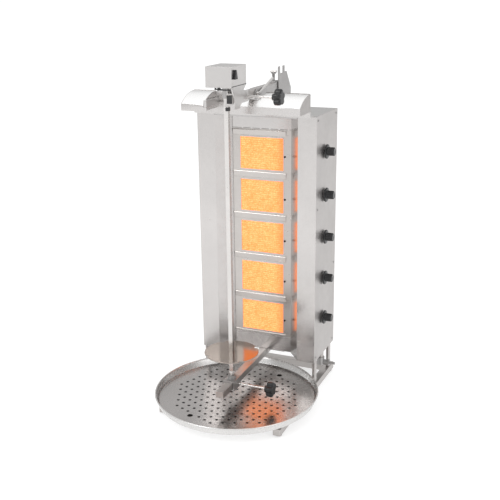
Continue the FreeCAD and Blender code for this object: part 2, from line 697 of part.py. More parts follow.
# ---------------------------------------------------------------- motor head
def build_motor():
    half = motor_half
    low_y = -size("motor_front")
    length = size("motor_length")
    bottom = size("motor_bottom")
    skin = size("cover_sheet")
    cover = cut(box(half * 2, length, size("motor_height"), -half, low_y, bottom),
                box((half - skin) * 2, length - skin * 2, size("motor_height") - skin, -half + skin, low_y + skin, bottom))
    switch_y = low_y + length * 0.19
    switch_z = bottom + size("motor_height") * 0.6
    switch_hole = rod(size("screw_radius") + running, skin * 3, half - skin * 2, switch_y, switch_z, "x")
    node(cut(cover, switch_hole), "motor_cover")

    # Bracket: base plate, tapered right-hand cheek and a sleeve round the beam.
    plate = box(half * 2, length, size("base_plate"), -half, low_y, bottom - size("base_plate"))
    shaft_hole = rod(size("journal_radius") + gap, size("base_plate") * 3, 0, spit_y, bottom - size("base_plate") * 2)
    leg_front = -size("sleeve_front")
    leg_rear = leg_front + size("beam_width") * 2.2
    leg_top = bottom - size("motor_height") * 0.62
    leg_low = size("funnel_low")
    taper = [(low_y, bottom), (leg_front, leg_top), (leg_front, leg_low), (leg_rear, leg_low),
             (leg_rear, leg_top), (low_y + length, bottom)]
    beam_half = size("beam_width") / 2
    cheek = size("cheek")
    wall = cheek - gap
    side = padded("taper", "YZ", [taper], wall, half - wall, 0, 0)
    beam_low = size("beam_bottom")
    beam_top = beam_low + size("beam_height")
    sleeve_x = beam_x - beam_half - cheek
    sleeve = box(half - sleeve_x, size("sleeve_length"), size("beam_height") + cheek * 2,
                 sleeve_x, leg_front, beam_low - cheek)
    web = box(wall, leg_rear - leg_front, bottom - beam_top - size("base_plate"), sleeve_x, leg_front, beam_top)
    passage = box((beam_half + gap) * 2, size("sleeve_length") + gap * 2, size("beam_height") + gap * 2,
                  beam_x - beam_half - gap, leg_front - gap, beam_low - gap)
    screw_y = -size("top_screw_forward")
    screw_z = beam_low + size("beam_height") / 2
    boss = rod(size("screw_radius") * 2.2, cheek * 1.5, half, screw_y, screw_z, "x")
    thread = rod(size("screw_radius") + running, cheek * 4, beam_x + beam_half, screw_y, screw_z, "x")
    pin_x = -size("cup_radius") * 1.6
    pin_radius = size("screw_radius") * 0.8
    lever_z = bottom - size("base_plate") * 5.5
    pin_hole = rod(pin_radius + running, size("base_plate") * 2, pin_x, spit_y, bottom - size("base_plate") * 1.5)
    node(cut(fuse(plate, side, sleeve, web, boss), shaft_hole, passage, thread, pin_hole), "motor_bracket")
    build_star_screw("top", beam_x + beam_half + gap, screw_y, screw_z, size("top_screw_reach"))

    # Geared motor on the base plate, its output over the spit.
    box_half = size("journal_radius") * 4
    gear_height = size("motor_height") * 0.4
    gearbox = box(box_half * 2, box_half * 2, gear_height, -box_half, spit_y - box_half, bottom)
    can = rod(box_half * 0.9, size("motor_height") * 0.5, 0, spit_y + box_half / 2, bottom + gear_height)
    bore = rod(size("journal_radius") + running, gear_height * 0.8, 0, spit_y, bottom)
    node(cut(fuse(gearbox, can), bore), "gear_motor")

    # Drive socket: shaft up into the gearbox, square socket down over the spit.
    socket_low = size("spit_top") - size("cup_radius")
    socket_high = bottom - size("base_plate") - gap
    socket = rod(size("cup_radius") * 0.9, socket_high - socket_low, 0, spit_y, socket_low)
    shaft = rod(size("journal_radius"), size("base_plate") + gap + gear_height * 0.7, 0, spit_y, socket_high)
    mouth_side = size("spit_side") + gap * 2
    mouth = box(mouth_side, mouth_side, size("cup_radius") + gap, -mouth_side / 2, spit_y - mouth_side / 2, socket_low)
    node(cut(fuse(socket, shaft), mouth), "drive_socket")

    # Release lever under the base plate, pointing left with a turned-up end.
    lever_x = -size("lever_reach")
    lever_wide = size("cup_radius") * 0.6
    bar = box(-lever_x - size("cup_radius") - gap, lever_wide, size("base_plate"), lever_x,
              spit_y - lever_wide / 2, lever_z)
    tip = box(size("base_plate"), lever_wide, size("base_plate") * 3, lever_x, spit_y - lever_wide / 2, lever_z)
    pin = rod(pin_radius, bottom - gap - lever_z, pin_x, spit_y, lever_z)
    node(fuse(bar, tip, pin), "release_lever")

    # Switch knob on the cover's right face.
    neck = rod(size("screw_radius"), skin + gap, half - skin, switch_y, switch_z, "x")
    pointer = [(-size("cup_radius") * 0.75, -size("cup_radius")), (size("cup_radius") * 0.75, -size("cup_radius")),
               (size("cup_radius") * 0.35, size("cup_radius")), (-size("cup_radius") * 0.35, size("cup_radius"))]
    knob = padded("switch", "YZ", [pointer], size("cup_radius") * 0.7, half + gap, switch_y, switch_z)
    node(fuse(neck, knob), "motor_switch")


# ---------------------------------------------------------------- hood
def build_hood():
    """A shelf over the meat: turned-down front lip, back wall on the roof, curved end plates."""
    half = size("hood_half_width")
    low = body_top + size("hood_rise")
    shelf_top = low + size("hood_lip")
    crown = shelf_top + size("hood_crown")
    fore = -size("hood_front")
    back = -size("hood_rear")
    depth = back - fore
    lip = box(half * 2, steel, size("hood_lip"), -half, fore, low)
    shelf = box(half * 2, depth, steel, -half, fore, shelf_top - steel)
    wall = box(half * 2, steel, crown - body_top, -half, back - steel, body_top)
    ledge = box(half * 2, front - back + size("rail_height") / 2, steel, -half, back - steel, body_top)
    slot = box(size("slot_left") + size("slot_right"), depth - steel * 8, size("hood_lip") + steel,
               -size("slot_left"), fore - steel / 2, low - steel / 2)
    passage = box(size("beam_width") * 2.4, steel * 4, crown, beam_x - size("beam_width"), back - steel * 2,
                  size("beam_bottom") - size("cheek") * 2)
    thick = size("leg_width") + steel
    bar_z = shelf_top - size("hood_lip") * 0.4
    bar_x = -size("slot_left") - thick
    bar_way = box(thick + gap * 2, depth + steel * 2, size("hood_lip") + gap * 2, bar_x - gap, fore - steel,
                  bar_z - gap)

    # Each end plate's top edge is an arc that rises from the lip and levels off at the back wall.
    radius = (depth * depth + size("hood_crown") * size("hood_crown")) / (size("hood_crown") * 2)
    ends = []
    for x in (-half, half - steel):
        blank = box(steel, depth, crown - low, x, fore, low)
        ends.append(common(blank, rod(radius, steel, x, back, crown - radius, "x")))
    node(cut(fuse(lip, shelf, wall, ledge, *ends), slot, passage, bar_way), "hood")

    # Side bar along the left of the slot, on a post at its rear end.
    bar = box(thick, size("hood_front") + size("leg_width") / 2, size("hood_lip"), bar_x, fore, bar_z)
    post = box(thick, size("rail_width"), bar_z - body_top, bar_x, -size("rail_width") - steel, body_top)
    node(fuse(bar, post), "hood_side_bar")


# ---------------------------------------------------------------- fasteners
def build_screws():
    """Pan-head screws on both side panels and on the back."""
    heads = []
    radius = size("screw_radius")
    inset = radius * 4
    heights = (body_bottom + inset, body_bottom + inset + size("burner_pitch") * 2,
               body_top - inset - size("burner_pitch") * 2, body_top - inset)
    for z in heights:
        for y in (front + inset, rear - inset):
            heads.append(rod(radius, screw_head, half_body, y, z, "x"))
            heads.append(rod(radius, screw_head, -half_body - screw_head, y, z, "x"))
        for x in (half_body - inset * 2, -half_body + inset * 2):
            heads.append(rod(radius, screw_head, x, rear, z, "y"))
    node(group(*heads), "panel_screws")


def check_and_write():
    doc.recompute()
    for item in doc.Objects:
        if "Invalid" in item.State or "Error" in item.State:
            raise RuntimeError("%s (%s) failed: %s" % (item.Name, item.Label, item.State))
    os.makedirs("parts", exist_ok=True)
    for item in NODES:
        if item.Shape.isNull() or not item.Shape.isValid() or not item.Shape.Solids:
            raise RuntimeError("%s has no valid shape" % item.Label)
    for item in NODES:
        item.Shape.exportStep(os.path.join("parts", item.Label + ".step"))
        print(item.Label, len(item.Shape.Solids), round(item.Shape.Volume))


build_base()
build_shell()
build_front_plates()
for number in range(BURNERS):
    build_burner(number)
    build_knob(number)
build_probes()
build_gas_train()
build_tray()
build_lower_support()
build_spit()
build_upper_support()
build_motor()
build_hood()
build_screws()
check_and_write()
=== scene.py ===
# Looks of a gas vertical broiler: stacked glowing burners between mirror wings,
# an upright spit under a motor box, side knobs and a round perforated tray.
# Metres, in the CAD's own frame: X to the machine's right, front towards -Y, Z up.
import bmesh
import bpy
import json
import math
from mathutils import Matrix, Vector

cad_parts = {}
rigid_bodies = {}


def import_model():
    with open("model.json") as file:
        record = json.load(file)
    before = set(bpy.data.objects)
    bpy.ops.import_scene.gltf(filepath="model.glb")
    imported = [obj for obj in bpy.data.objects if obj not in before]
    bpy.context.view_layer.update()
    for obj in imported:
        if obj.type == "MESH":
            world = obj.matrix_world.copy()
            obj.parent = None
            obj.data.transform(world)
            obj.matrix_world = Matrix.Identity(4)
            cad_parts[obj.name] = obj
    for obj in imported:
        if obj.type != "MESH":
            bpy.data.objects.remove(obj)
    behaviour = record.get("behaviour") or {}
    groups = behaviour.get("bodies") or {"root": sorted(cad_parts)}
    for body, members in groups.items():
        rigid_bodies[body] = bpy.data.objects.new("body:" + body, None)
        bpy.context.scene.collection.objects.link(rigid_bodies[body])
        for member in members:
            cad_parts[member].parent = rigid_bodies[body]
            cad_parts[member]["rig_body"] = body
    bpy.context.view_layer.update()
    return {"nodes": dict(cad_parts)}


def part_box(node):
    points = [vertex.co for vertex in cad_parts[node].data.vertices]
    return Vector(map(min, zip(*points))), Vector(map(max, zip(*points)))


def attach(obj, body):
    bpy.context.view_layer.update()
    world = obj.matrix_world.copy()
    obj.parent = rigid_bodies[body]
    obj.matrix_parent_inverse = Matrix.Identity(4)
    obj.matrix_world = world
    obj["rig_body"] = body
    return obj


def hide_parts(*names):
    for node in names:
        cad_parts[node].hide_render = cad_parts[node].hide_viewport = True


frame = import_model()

NODES = frame["nodes"]
MM = 0.001
SHIFT = 0.1898  # Y of the burner frame's face, from which the places in millimetres are counted


# ------------------------------------------------------------------ materials
class Maker:
    """Small helper round one node tree."""

    def __init__(self, name):
        self.mat = bpy.data.materials.new(name)
        self.mat.use_nodes = True
        self.tree = self.mat.node_tree
        self.shader = next(n for n in self.tree.nodes if n.type == "BSDF_PRINCIPLED")
        self.coord = self.add("ShaderNodeTexCoord").outputs["Object"]

    def add(self, kind, **values):
        node = self.tree.nodes.new(kind)
        for key, value in values.items():
            setattr(node, key, value)
        return node

    def join(self, out, into):
        self.tree.links.new(out, into)

    def scaled(self, x, y, z):
        node = self.add("ShaderNodeMapping")
        node.inputs["Scale"].default_value = (x, y, z)
        self.join(self.coord, node.inputs["Vector"])
        return node.outputs["Vector"]

    def noise(self, vector, scale, detail=3.0, rough=0.5):
        node = self.add("ShaderNodeTexNoise")
        node.inputs["Scale"].default_value = scale
        node.inputs["Detail"].default_value = detail
        node.inputs["Roughness"].default_value = rough
        self.join(vector, node.inputs["Vector"])
        return node.outputs["Fac"]

    def ramp(self, value, *stops):
        node = self.add("ShaderNodeValToRGB")
        band = node.color_ramp
        while len(band.elements) < len(stops):
            band.elements.new(0.5)
        for element, (place, colour) in zip(band.elements, stops):
            element.position = place
            level = colour if isinstance(colour, tuple) else (colour, colour, colour)
            element.color = (*level, 1.0)
        self.join(value, node.inputs["Fac"])
        return node.outputs["Color"]

    def math(self, operation, first, second=None, clamp=False):
        node = self.add("ShaderNodeMath", operation=operation, use_clamp=clamp)
        for socket, value in zip(node.inputs, (first, second)):
            if value is None:
                continue
            if isinstance(value, (int, float)):
                socket.default_value = value
            else:
                self.join(value, socket)
        return node.outputs["Value"]

    def mix(self, factor, first, second, blend="MIX"):
        node = self.add("ShaderNodeMix", data_type="RGBA", blend_type=blend)
        for index, value in ((0, factor), (6, first), (7, second)):
            if isinstance(value, (int, float)):
                node.inputs[index].default_value = value
            elif isinstance(value, tuple):
                node.inputs[index].default_value = (*value, 1.0)
            else:
                self.join(value, node.inputs[index])
        return node.outputs[2]

    def bump(self, height, strength, distance, normal=None):
        node = self.add("ShaderNodeBump")
        node.inputs["Strength"].default_value = strength
        node.inputs["Distance"].default_value = distance
        self.join(height, node.inputs["Height"])
        if normal is not None:
            self.join(normal, node.inputs["Normal"])
        return node.outputs["Normal"]

    def edge_wear(self, radius):
        """1 on sharp convex edges, 0 on flats."""
        bevel = self.add("ShaderNodeBevel", samples=4)
        bevel.inputs["Radius"].default_value = radius
        flat = self.add("ShaderNodeNewGeometry")
        dot = self.add("ShaderNodeVectorMath", operation="DOT_PRODUCT")
        self.join(bevel.outputs["Normal"], dot.inputs[0])
        self.join(flat.outputs["Normal"], dot.inputs[1])
        return self.ramp(dot.outputs["Value"], (0.80, 1.0), (0.97, 0.0))

    def set(self, name, value):
        self.shader.inputs[name].default_value = value

    def put(self, out, name):
        self.join(out, self.shader.inputs[name])


def steel(name, colour, rough, grain, bump=0.05, blotch=0.06, dirt=0.0):
    """Stainless sheet: fine drawn grain along one axis, slow waviness and faint handling marks."""
    m = Maker(name)
    stretch = {"x": (8, 900, 900), "y": (900, 8, 900), "z": (900, 900, 8), "none": (240, 240, 240)}[grain]
    fine = m.noise(m.scaled(*stretch), 1.0, 1.5, 0.5)
    slow = m.noise(m.coord, 5.0, 3.0, 0.55)
    marks = m.noise(m.coord, 38.0, 6.0, 0.72)
    dark = tuple(c * (1 - blotch) for c in colour)
    light = tuple(min(1.0, c * (1 + blotch * 0.6)) for c in colour)
    base = m.ramp(slow, (0.30, dark), (0.70, light))
    streak = m.ramp(fine, (0.25, 0.965), (0.75, 1.0))
    base = m.mix(1.0, base, streak, "MULTIPLY")
    if dirt:
        brown = m.ramp(marks, (0.58, 0.0), (0.80, dirt))
        base = m.mix(brown, base, (0.28, 0.20, 0.13))
    m.put(base, "Base Color")
    m.set("Metallic", 1.0)
    level = m.math("ADD", m.math("MULTIPLY", m.ramp(marks, (0.35, 0.0), (0.75, 1.0)), 0.10),
                   m.math("MULTIPLY", fine, 0.05))
    m.put(m.math("ADD", level, rough - 0.08, clamp=True), "Roughness")
    wavy = m.bump(slow, 0.10, 0.003)
    m.put(m.bump(fine, bump, 0.0002, wavy), "Normal")
    return m.mat


def plastic(name, colour, rough, speck=600.0):
    """Moulded plastic: fine texture, paler worn edges and a little dust."""
    m = Maker(name)
    fine = m.noise(m.coord, speck, 2.0)
    slow = m.noise(m.coord, 60.0, 4.0, 0.6)
    base = m.ramp(slow, (0.3, tuple(c * 0.8 for c in colour)),
                  (0.8, tuple(c * 1.5 + 0.004 for c in colour)))
    worn = m.edge_wear(0.0006)
    base = m.mix(m.math("MULTIPLY", worn, 0.35), base, tuple(min(1, c * 3 + 0.05) for c in colour))
    m.put(base, "Base Color")
    m.put(m.math("ADD", m.math("MULTIPLY", slow, 0.2), rough - 0.1, clamp=True), "Roughness")
    m.put(m.bump(fine, 0.25, 0.0002), "Normal")
    m.set("Specular IOR Level", 0.45)
    return m.mat


def glowing(name):
    """Perforated ceramic in full glow: paler holes in an orange face, cooler towards the right end."""
    m = Maker(name)
    split = m.add("ShaderNodeSeparateXYZ")
    m.join(m.coord, split.inputs[0])

    def spots(across, up, low, high):
        cells = m.add("ShaderNodeTexVoronoi", feature="F1")
        cells.inputs["Scale"].default_value = 1.0
        cells.inputs["Randomness"].default_value = 0.55
        m.join(m.scaled(across, across, up), cells.inputs["Vector"])
        return m.ramp(cells.outputs["Distance"], (low, 1.0), (high, 0.0))

    holes = spots(300, 390, 0.15, 0.52)
    dapple = spots(150, 205, 0.10, 0.60)
    patch = m.noise(m.coord, 45.0, 4.0, 0.65)
    streak = m.noise(m.scaled(70, 70, 330), 1.0, 3.0, 0.6)
    face = m.ramp(patch, (0.34, (1.0, 0.200, 0.040)), (0.68, (1.0, 0.300, 0.090)))
    face = m.mix(m.math("MULTIPLY", dapple, 0.85), face, (1.0, 0.44, 0.19))
    face = m.mix(m.math("MULTIPLY", holes, 0.30), face, (1.0, 0.46, 0.24))
    face = m.mix(m.ramp(streak, (0.50, 0.0), (0.72, 0.60)), face, (0.70, 0.15, 0.025))
    rows = m.add("ShaderNodeTexWave", wave_type="BANDS", bands_direction="Z")
    rows.inputs["Scale"].default_value = 40.0
    rows.inputs["Distortion"].default_value = 3.0
    rows.inputs["Detail"].default_value = 2.0
    rows.inputs["Detail Scale"].default_value = 2.0
    m.join(m.coord, rows.inputs["Vector"])
    face = m.mix(m.ramp(rows.outputs["Fac"], (0.05, 0.55), (0.45, 0.0)), face, (0.62, 0.17, 0.04))
    side = m.math("MULTIPLY", split.outputs["X"], 11.0)
    cool = m.ramp(m.math("ADD", side, m.math("MULTIPLY", patch, 0.3)), (0.70, 0.0), (1.15, 1.0))
    face = m.mix(m.math("MULTIPLY", cool, 0.55), face, (0.85, 0.13, 0.03))
    m.put(face, "Emission Color")
    m.set("Emission Strength", GLOW)
    m.set("Roughness", 0.9)
    m.put(m.mix(0.5, (0.10, 0.06, 0.035), face, "MULTIPLY"), "Base Color")
    m.put(m.bump(holes, 0.5, 0.0008), "Normal")
    return m.mat


GLOW = 2.0
STEEL = {
    "upright": steel("steel_upright", (0.485, 0.465, 0.455), 0.42, "z", 0.04),
    "across": steel("steel_across", (0.55, 0.54, 0.53), 0.36, "x", 0.04),
    "along": steel("steel_along", (0.60, 0.585, 0.575), 0.36, "y", 0.04),
    "hood": steel("steel_hood", (0.64, 0.62, 0.61), 0.28, "x", 0.015, 0.03),
    # The covers' steel is a much paler copy of the stainless: painted highlight, so that the covers' tops
    # read white.
    "cover": steel("steel_cover_painted_highlight", (0.93, 0.925, 0.92), 0.30, "x", 0.010, 0.02),
    "end": steel("steel_end", (0.40, 0.38, 0.37), 0.40, "z", 0.03, 0.06),
    "mirror": steel("steel_mirror", (0.58, 0.56, 0.55), 0.25, "z", 0.010, 0.05),
    "tray": steel("steel_tray", (0.46, 0.44, 0.43), 0.28, "none", 0.015, 0.09, 0.08),
    "rim": steel("steel_tray_rim", (0.71, 0.70, 0.69), 0.28, "none", 0.02, 0.05),
    "plate": steel("steel_plate", (0.36, 0.315, 0.28), 0.13, "none", 0.01, 0.06, 0.05),
    "bar": steel("steel_bar", (0.68, 0.66, 0.645), 0.26, "z", 0.03, 0.08, 0.04),
    "tube": steel("steel_tube", (0.49, 0.465, 0.45), 0.36, "y", 0.04, 0.08),
    "cast": steel("steel_cast", (0.44, 0.43, 0.425), 0.44, "none", 0.12, 0.12),
    "frame": steel("steel_frame", (0.54, 0.515, 0.495), 0.32, "x", 0.001, 0.03),
    # Near-black steel that paints the shade under the tray insert.
    "painted_shade": steel("steel_painted_shade", (0.055, 0.050, 0.046), 0.50, "none", 0.05, 0.20),
    "burnt": steel("steel_burnt", (0.40, 0.36, 0.33), 0.40, "x", 0.06, 0.16, 0.35),
}
BLACK = plastic("black_plastic", (0.012, 0.012, 0.013), 0.34)
BLACK_STEEL = plastic("black_steel", (0.02, 0.02, 0.021), 0.42, 900.0)
RUBBER = plastic("rubber", (0.02, 0.02, 0.02), 0.75, 350.0)
BRASS = steel("brass", (0.62, 0.48, 0.24), 0.36, "none", 0.08, 0.12)
MOTOR = plastic("motor_paint", (0.09, 0.095, 0.10), 0.5)
CERAMIC = glowing("glowing_ceramic")
MARK = plastic("knob_mark", (0.55, 0.55, 0.53), 0.5)


def dress(item, material):
    item.data.materials.clear()
    item.data.materials.append(material)
    return item


# ------------------------------------------------------------------ mesh helpers
def link(name, mesh, material, body):
    item = bpy.data.objects.new(name, mesh)
    bpy.context.scene.collection.objects.link(item)
    dress(item, material)
    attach(item, body)
    return item


def finish_mesh(bm, name, smooth=True, angle=35.0):
    bmesh.ops.recalc_face_normals(bm, faces=bm.faces)
    mesh = bpy.data.meshes.new(name)
    bm.to_mesh(mesh)
    bm.free()
    for poly in mesh.polygons:
        poly.use_smooth = smooth
    if smooth:
        mesh.set_sharp_from_angle(angle=math.radians(angle))
    return mesh


def bevel(item, width, segments=3):
    mod = item.modifiers.new("edges", "BEVEL")
    mod.width = width
    mod.segments = segments
    mod.limit_method = "ANGLE"
    mod.angle_limit = math.radians(32.0)
    mod.harden_normals = True
    mod.use_clamp_overlap = True
    return item


def crisp(node, material, width):
    """A copy of a CAD node with rounded edges that stands for it."""
    bm = bmesh.new()
    bm.from_mesh(NODES[node].data)
    bmesh.ops.remove_doubles(bm, verts=bm.verts, dist=2e-6)
    bmesh.ops.dissolve_limit(bm, angle_limit=math.radians(0.6), verts=bm.verts, edges=bm.edges)
    mesh = finish_mesh(bm, node + "_sheet")
    item = link(node + "_look", mesh, material, NODES[node]["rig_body"])
    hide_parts(node)
    return bevel(item, width, 2)


def block(name, low, high, material, body, width):
    """A bevelled block between two corners."""
    bm = bmesh.new()
    corners = [bm.verts.new((x, y, z)) for x in (low[0], high[0]) for y in (low[1], high[1])
               for z in (low[2], high[2])]
    for face in ((0, 1, 3, 2), (4, 6, 7, 5), (0, 4, 5, 1), (2, 3, 7, 6), (0, 2, 6, 4), (1, 5, 7, 3)):
        bm.faces.new([corners[i] for i in face])
    item = link(name, finish_mesh(bm, name), material, body)
    return bevel(item, width)


def lathe(name, profile, centre, axis, material, body, steps=64, closed=True):
    """Turns (radius, height) points in millimetres about an axis through centre."""
    bm = bmesh.new()
    turn = {"x": Matrix.Rotation(math.pi / 2, 4, "Y"), "y": Matrix.Rotation(-math.pi / 2, 4, "X"),
            "z": Matrix.Identity(4)}[axis]
    rings = []
    for radius, height in profile:
        radius, height = radius * MM, height * MM
        if radius < 1e-7:
            rings.append([bm.verts.new((0, 0, height))] * steps)
            continue
        rings.append([bm.verts.new((radius * math.cos(2 * math.pi * k / steps),
                                    radius * math.sin(2 * math.pi * k / steps), height))
                      for k in range(steps)])
    for low, high in zip(rings, rings[1:] + ([rings[0]] if closed else [])):
        for k in range(steps):
            corners = [low[k], low[(k + 1) % steps], high[(k + 1) % steps], high[k]]
            unique = list(dict.fromkeys(corners))
            if len(unique) > 2:
                bm.faces.new(unique)
    bm.transform(Matrix.Translation(Vector(centre)) @ turn)
    return link(name, finish_mesh(bm, name), material, body)


def prism(name, outline, low, high, axis, material, body, width, segments=3):
    """An outline (list of u, v) extruded along X or Y between two places, with rounded edges."""
    bm = bmesh.new()
    place = {"x": lambda u, v, w: (w, u, v), "y": lambda u, v, w: (u, w, v)}[axis]
    rings = [[bm.verts.new(place(u, v, w)) for u, v in outline] for w in (low, high)]
    count = len(outline)
    for k in range(count):
        bm.faces.new((rings[0][k], rings[0][(k + 1) % count], rings[1][(k + 1) % count], rings[1][k]))
    bm.faces.new(rings[0])
    bm.faces.new(list(reversed(rings[1])))
    item = link(name, finish_mesh(bm, name), material, body)
    return bevel(item, width, segments)


def fluted(name, rings, count, centre, material, body, turn=0.0):
    """A lobed grip along X: rings of (radius, flute depth as a share, height), radius and height in mm."""
    bm = bmesh.new()
    steps = 120
    loops = []
    for radius, depth, height in rings:
        loop = []
        for k in range(steps):
            angle = 2 * math.pi * k / steps
            wave = (0.5 - 0.5 * math.cos(count * angle)) ** 1.6
            r = radius * MM * (1 - depth * wave)
            loop.append(bm.verts.new((r * math.cos(angle + turn), r * math.sin(angle + turn), height * MM)))
        loops.append(loop)
    for low, high in zip(loops, loops[1:]):
        for k in range(steps):
            bm.faces.new((low[k], low[(k + 1) % steps], high[(k + 1) % steps], high[k]))
    bm.faces.new(loops[0])
    bm.faces.new(list(reversed(loops[-1])))
    bm.transform(Matrix.Translation(Vector(centre)) @ Matrix.Rotation(math.pi / 2, 4, "Y"))
    return link(name, finish_mesh(bm, name, True, 40.0), material, body)


def at(x, y, z):
    """A point in millimetres: x from the middle, y from the burner frame's face, z from the floor."""
    return Vector((x * MM, y * MM + SHIFT, z * MM))


def ring_plate(name, outer, inner, low_y, high_y, material, body, width):
    """A rectangular frame in the XZ plane: outer and inner are (x0, x1, z0, z1)."""
    bm = bmesh.new()
    loops = []
    for x0, x1, z0, z1 in (outer, inner):
        for y in (low_y, high_y):
            loops.append([bm.verts.new((x, y, z)) for x, z in ((x0, z0), (x1, z0), (x1, z1), (x0, z1))])
    outer_front, outer_back, inner_front, inner_back = loops
    for first, second in ((outer_front, outer_back), (inner_back, inner_front),
                          (inner_front, outer_front), (outer_back, inner_back)):
        for k in range(4):
            bm.faces.new((first[k], first[(k + 1) % 4], second[(k + 1) % 4], second[k]))
    item = link(name, finish_mesh(bm, name), material, body)
    return bevel(item, width, 2)


# ------------------------------------------------------------------ body shell
for node, material, width in (
        ("side_panel_right", "upright", 0.0006), ("side_panel_left", "upright", 0.0006),
        ("wing_reflectors", "mirror", 0.0005), ("top_panel", "across", 0.0005),
        ("bottom_panel", "across", 0.0005), ("back_panel", "upright", 0.0004),
        ("front_plates", "mirror", 0.0004), ("burner_frame", "frame", 0.0004),
        ("hood", "hood", 0.0005), ("hood_side_bar", "along", 0.0012),
        ("base_frame", "tube", 0.0016), ("lower_arm", "tube", 0.0018), ("arm_brackets", "tube", 0.0006),
        ("lower_slider", "cast", 0.0012), ("upper_beam", "tube", 0.0015), ("beam_mount", "cast", 0.0008),
        ("rear_fork", "cast", 0.0008), ("motor_bracket", "along", 0.0007), ("motor_cover", "along", 0.0009),
        ("spit", "bar", 0.0007), ("spit_plate", "plate", 0.0008), ("drive_socket", "cast", 0.0008),
        ("guide_lever", "bar", 0.0006), ("clamp_bolt", "bar", 0.0010),
        ("top_lock_screw", "bar", 0.0004), ("bottom_lock_screw", "bar", 0.0004)):
    crisp(node, STEEL[material], width)
crisp("release_lever", BLACK_STEEL, 0.0006)
crisp("gas_inlet", STEEL["cast"], 0.0006)
crisp("gas_manifold", STEEL["tube"], 0.0005)
for index in range(1, 6):
    crisp("burner_housing_%d" % index, STEEL["burnt"], 0.0006)
    crisp("valve_spindle_%d" % index, STEEL["bar"], 0.0004)
dress(NODES["gas_valves"], BRASS)
dress(NODES["gas_injectors"], BRASS)
dress(NODES["gear_motor"], MOTOR)


# ------------------------------------------------------------------ burners
def plaque_pair(index):
    """Two embossed ceramic plaques seen through one window."""
    low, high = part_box("burner_tiles_%d" % index)
    bm = bmesh.new()
    pitch = 1.7 * MM
    half_joint = 0.15 * MM
    for x_low, x_high in ((low.x, -half_joint), (half_joint, high.x)):
        across = round((x_high - x_low) / pitch)
        up = round((high.z - low.z) / pitch)
        grid = []
        for i in range(across + 1):
            column = []
            for k in range(up + 1):
                edge = i in (0, across) or k in (0, up)
                dent = 0.0 if edge else 0.55 * MM * ((i + k) % 2) + 0.25 * MM * (k % 4 == 0)
                column.append(bm.verts.new((x_low + (x_high - x_low) * i / across, low.y + dent,
                                            low.z + (high.z - low.z) * k / up)))
            grid.append(column)
        for i in range(across):
            for k in range(up):
                bm.faces.new((grid[i][k], grid[i + 1][k], grid[i + 1][k + 1], grid[i][k + 1]))
        rim = [grid[i][0] for i in range(across + 1)]
        rim += [grid[across][k] for k in range(1, up + 1)]
        rim += [grid[i][up] for i in range(across - 1, -1, -1)]
        rim += [grid[0][k] for k in range(up - 1, 0, -1)]
        back = [bm.verts.new((v.co.x, high.y, v.co.z)) for v in rim]
        count = len(rim)
        for k in range(count):
            bm.faces.new((rim[k], back[k], back[(k + 1) % count], rim[(k + 1) % count]))
        bm.faces.new(back)
    name = "plaques_%d" % index
    item = link(name, finish_mesh(bm, name, False), CERAMIC, "stand")
    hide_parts("burner_tiles_%d" % index)


PITCH = 159.0  # between the burners' centres
TOP = 896.0  # centre of the top burner
WINDOW = (84, 59)  # half width and half height
RIM = 2.5
PROBE_X, PROBE_DROP = 90, 7.5
STRIP_LOW_X, STRIP_HIGH_X, STRIP_HALF = -113, 95, 12
for index in range(5):
    plaque_pair(index + 1)
    z = TOP - PITCH * index
    outer, inner = [(-(WINDOW[0] + rim) * MM, (WINDOW[0] + rim) * MM,
                     (z - WINDOW[1] - rim) * MM, (z + WINDOW[1] + rim) * MM) for rim in (RIM, 0)]
    ring_plate("window_rim_%d" % (index + 1), outer, inner, SHIFT - 1.6 * MM, SHIFT + 0.4 * MM,
               STEEL["frame"], "stand", 0.0004)

strips = [(961, 983)]
for index in range(4):
    z = TOP - PITCH * (index + 0.5)
    strips.append((z - STRIP_HALF, z + STRIP_HALF))
strips.append((190, 196))
for index, (low_z, high_z) in enumerate(strips):
    outline = [(SHIFT, low_z * MM), (SHIFT - 1.5 * MM, (low_z + 1.0) * MM),
               (SHIFT - 4.5 * MM, (high_z - 2.5) * MM), (SHIFT - 3.5 * MM, (high_z - 0.4) * MM),
               (SHIFT, high_z * MM)]
    prism("cross_strip_%d" % (index + 1), outline, STRIP_LOW_X * MM, STRIP_HIGH_X * MM, "x",
          STEEL["frame"], "stand", 0.0005)

for index in range(5):
    probe = lathe("probe_%d" % (index + 1),
                  [(0, 3), (3.7, 3), (3.7, -2.2), (3.2, -3.0), (1.3, -3.4), (1.2, -7.6), (0.8, -8.0),
                   (0, -8.0)],
                  at(PROBE_X, 0, TOP - PITCH * index - PROBE_DROP), "y", BLACK_STEEL, "stand",
                  32, False)
    if index == 0:
        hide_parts("ignition_probes")


# ------------------------------------------------------------------ knobs
def knob(index):
    """Burner knob along X: a flat skirt, a fluted grip, a pale mark and a pointer ridge."""
    low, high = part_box("burner_knob_%d" % index)
    x, y, z = low.x, (low.y + high.y) / 2, (low.z + high.z) / 2
    body = "knob_%d" % index
    lathe("knob_skirt_%d" % index,
          [(4.2, 0), (24.8, 0), (25.7, 0.5), (26, 1.3), (26, 3.6), (25.4, 5.0), (23.8, 5.9), (17, 6.3),
           (4.2, 6.3)], (x, y, z), "x", BLACK, body)
    grip = fluted("knob_grip_%d" % index,
                  [(15.0, 0.0, 6.0), (14.6, 0.07, 8.0), (14.6, 0.09, 20.0), (14.4, 0.09, 29.0),
                   (13.9, 0.08, 31.0), (12.8, 0.05, 32.0), (6.0, 0.0, 31.6)],
                  10, (x, y, z), BLACK, body)
    block("knob_mark_%d" % index, (x + 31.4 * MM, y - 0.9 * MM, z + 4 * MM),
          (x + 32 * MM, y + 0.9 * MM, z + 12 * MM), MARK, body, 0.0002)
    block("knob_ridge_%d" % index, (x + 6 * MM, y - 1.6 * MM, z + 13 * MM),
          (x + 31 * MM, y + 1.6 * MM, z + 16.4 * MM), BLACK, body, 0.0008)
    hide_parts("burner_knob_%d" % index)


for index in range(1, 6):
    knob(index)


